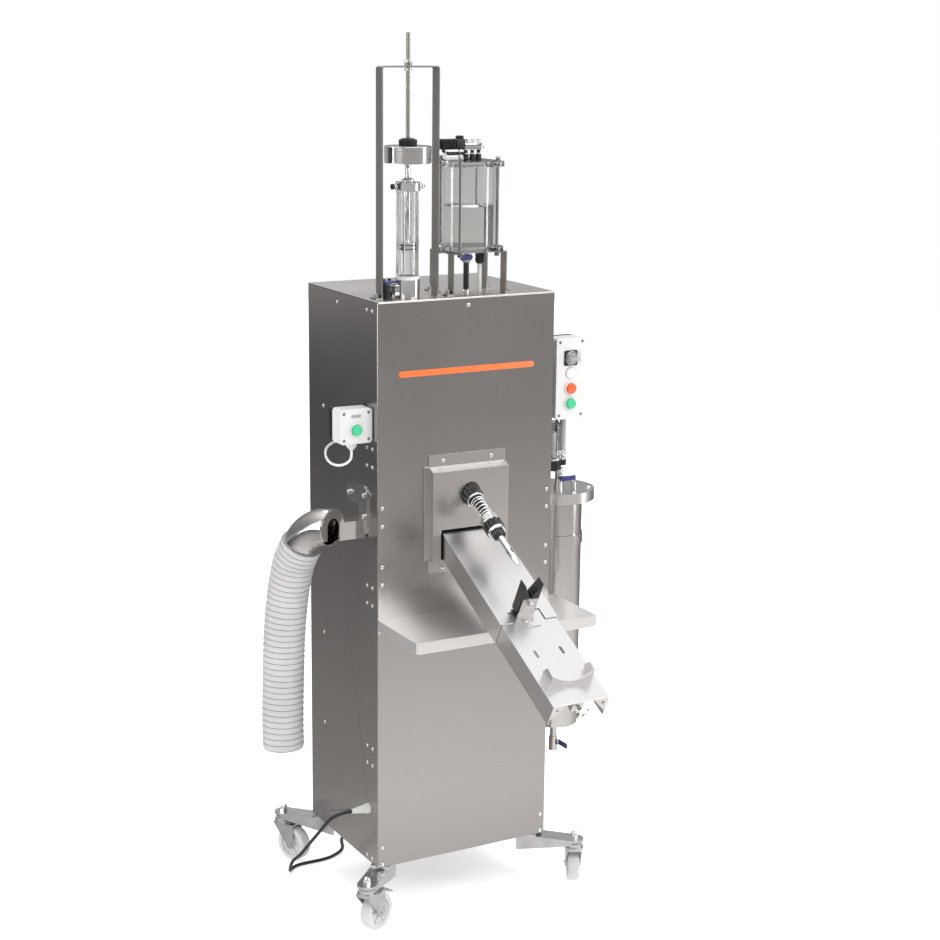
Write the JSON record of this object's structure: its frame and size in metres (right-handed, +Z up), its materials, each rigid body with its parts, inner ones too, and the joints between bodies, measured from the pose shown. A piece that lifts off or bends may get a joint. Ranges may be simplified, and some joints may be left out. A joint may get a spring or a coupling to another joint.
{
  "type": "piston liquid filler",
  "caption": "Tall steel cabinet on casters with a tilted bottle carriage, spring-loaded filling nozzle, dosing piston, clear reservoir, side tank and bottle collector.",
  "frame": {"origin": "on the floor, under the middle of the machine's box without its free cords", "axes": "+Z up, -Y towards the user at the bottle carriage, +X towards the tank"},
  "size_m": [0.7239, 0.9568, 1.755],
  "materials": {
    "steel": "brushed stainless sheet",
    "bright": "bright turned steel",
    "zinc": "bright zinc-plated steel",
    "alloy": "turned and anodised",
    "black": "moulded",
    "white": "moulded",
    "blue": "moulded",
    "green": "moulded",
    "red": "moulded",
    "glass": "clear",
    "acrylic": "clear, with polished edges",
    "white_hose": "flexible",
    "black_cable": "flexible"
  },
  "bodies": {
    "machine": {"cabinet_shell": "steel", "front_panel": "steel", "top_panel": "steel", "base_plate": "steel", "fasteners": "bright", "caster_arms": "zinc", "nozzle_cover": "steel", "shelf": "steel", "rail_frame": "steel", "tray_cylinder": "bright", "nozzle_housing": "alloy", "nozzle_tube": "bright", "nozzle_spring": "bright", "yoke": "steel", "dosing_frame": "alloy", "dosing_glass": "glass", "reservoir_stand": "steel", "reservoir_plates": "acrylic", "reservoir_tube": "acrylic", "reservoir_fittings": "black", "box_bases": "black", "box_covers": "white", "tank_body": "steel", "tank_lid": "steel", "service_lines": "black", "collector": "steel", "spiral_hose": "white_hose", "cable_glands": "white", "box_cable": "white_hose", "mains_cable": "black_cable", "mains_coil": "black_cable", "mains_plug": "black_cable"},
    "caster_fl": {"fork_fl": "zinc"},
    "caster_fr": {"fork_fr": "zinc"},
    "caster_rl": {"fork_rl": "zinc"},
    "caster_rr": {"fork_rr": "zinc"},
    "wheel_fl": {"wheel_fl": "white"},
    "wheel_fr": {"wheel_fr": "white"},
    "wheel_rl": {"wheel_rl": "white"},
    "wheel_rr": {"wheel_rr": "white"},
    "pedal_fl": {"brake_pedal_fl": "zinc"},
    "pedal_fr": {"brake_pedal_fr": "zinc"},
    "carriage": {"carriage": "steel", "carriage_rod": "bright"},
    "extension": {"tray_extension": "steel", "neck_rest": "black", "rest_brackets": "steel"},
    "clamp_screw": {"thumb_screw": "bright"},
    "bush": {"nozzle_bush": "alloy"},
    "stroke_rod": {"stroke_rod": "bright"},
    "adjuster": {"adjuster_knob": "black"},
    "dosing_piston": {"dosing_piston": "alloy"},
    "dosing_lever": {"dosing_lever": "blue"},
    "reservoir_lever": {"reservoir_lever": "blue"},
    "lid_lever": {"lid_lever": "blue"},
    "drain_lever": {"drain_lever": "blue"},
    "start_button": {"start_button": "green"},
    "stop_button": {"stop_button": "red"},
    "run_button": {"run_button": "green"},
    "mode_switch": {"mode_switch": "black"}
  },
  "joints": [
    {"name": "swivel_fl", "type": "hinge", "parent": "machine", "child": "caster_fl", "pos_m": [-0.24695, -0.02217, 0.088], "axis": [0, 0, 1], "continuous": true},
    {"name": "roll_fl", "type": "hinge", "parent": "caster_fl", "child": "wheel_fl", "pos_m": [-0.22137, -0.01078, 0.0375], "axis": [-0.4067, 0.9135, 0], "continuous": true},
    {"name": "swivel_fr", "type": "hinge", "parent": "machine", "child": "caster_fr", "pos_m": [0.23705, -0.02217, 0.088], "axis": [0, 0, 1], "continuous": true},
    {"name": "roll_fr", "type": "hinge", "parent": "caster_fr", "child": "wheel_fr", "pos_m": [0.2502, 0.00255, 0.0375], "axis": [-0.8829, 0.4695, 0], "continuous": true},
    {"name": "swivel_rl", "type": "hinge", "parent": "machine", "child": "caster_rl", "pos_m": [-0.24695, 0.39183, 0.088], "axis": [0, 0, 1], "continuous": true},
    {"name": "roll_rl", "type": "hinge", "parent": "caster_rl", "child": "wheel_rl", "pos_m": [-0.23467, 0.36667, 0.0375], "axis": [0.8988, 0.4384, 0], "continuous": true},
    {"name": "swivel_rr", "type": "hinge", "parent": "machine", "child": "caster_rr", "pos_m": [0.23705, 0.39183, 0.088], "axis": [0, 0, 1], "continuous": true},
    {"name": "roll_rr", "type": "hinge", "parent": "caster_rr", "child": "wheel_rr", "pos_m": [0.2128, 0.40583, 0.0375], "axis": [-0.5, -0.866, 0], "continuous": true},
    {"name": "pedal_fl", "type": "hinge", "parent": "caster_fl", "child": "pedal_fl", "pos_m": [-0.21132, -0.00631, 0.0797], "axis": [-0.4067, 0.9135, 0], "range_deg": [0, 12]},
    {"name": "pedal_fr", "type": "hinge", "parent": "caster_fr", "child": "pedal_fr", "pos_m": [0.25536, 0.01227, 0.0797], "axis": [-0.8829, 0.4695, 0], "range_deg": [0, 12]},
    {"name": "carriage_slide", "type": "slide", "parent": "machine", "child": "carriage", "axis": [0, 0.887, 0.4617], "range_m": [0, 0.1]},
    {"name": "extension_slide", "type": "slide", "parent": "carriage", "child": "extension", "axis": [0, -0.887, -0.4617], "range_m": [0, 0.05]},
    {"name": "clamp_turn", "type": "hinge", "parent": "extension", "child": "clamp_screw", "pos_m": [-0.00495, -0.41039, 0.55843], "axis": [0, -0.887, -0.4617], "continuous": true},
    {"name": "bush_slide", "type": "slide", "parent": "machine", "child": "bush", "axis": [0, 0.887, 0.4617], "range_m": [0, 0.022], "stiffness_N_per_m": 600, "deforming": ["nozzle_spring"]},
    {"name": "stroke_slide", "type": "slide", "parent": "machine", "child": "stroke_rod", "axis": [0, 0, 1], "range_m": [0, 0.03]},
    {"name": "adjuster_turn", "type": "hinge", "parent": "stroke_rod", "child": "adjuster", "pos_m": [-0.11595, 0.06683, 1.554], "axis": [0, 0, 1], "continuous": true},
    {"name": "dosing_stroke", "type": "slide", "parent": "machine", "child": "dosing_piston", "axis": [0, 0, 1], "range_m": [-0.025, 0]},
    {"name": "dosing_lever_turn", "type": "hinge", "parent": "machine", "child": "dosing_lever", "pos_m": [-0.16195, 0.06683, 1.288], "axis": [0, 0, 1], "range_deg": [-90, 0]},
    {"name": "reservoir_lever_turn", "type": "hinge", "parent": "machine", "child": "reservoir_lever", "pos_m": [0.01905, 0.06683, 1.329], "axis": [0, -1, 0], "range_deg": [0, 90]},
    {"name": "lid_lever_turn", "type": "hinge", "parent": "machine", "child": "lid_lever", "pos_m": [0.26605, 0.10183, 0.852], "axis": [0, -1, 0], "range_deg": [0, 90]},
    {"name": "drain_lever_turn", "type": "hinge", "parent": "machine", "child": "drain_lever", "pos_m": [0.28505, 0.12483, 0.259], "axis": [1, 0, 0], "range_deg": [0, 90]},
    {"name": "start_press", "type": "slide", "parent": "machine", "child": "start_button", "axis": [0, 1, 0], "range_m": [0, 0.004], "stiffness_N_per_m": 400},
    {"name": "stop_press", "type": "slide", "parent": "machine", "child": "stop_button", "axis": [0, 1, 0], "range_m": [0, 0.004], "stiffness_N_per_m": 400},
    {"name": "run_press", "type": "slide", "parent": "machine", "child": "run_button", "axis": [0, 1, 0], "range_m": [0, 0.004], "stiffness_N_per_m": 400},
    {"name": "mode_turn", "type": "hinge", "parent": "machine", "child": "mode_switch", "pos_m": [0.24105, 0.03983, 1.118], "axis": [0, -1, 0], "range_deg": [-45, 45]}
  ]
}
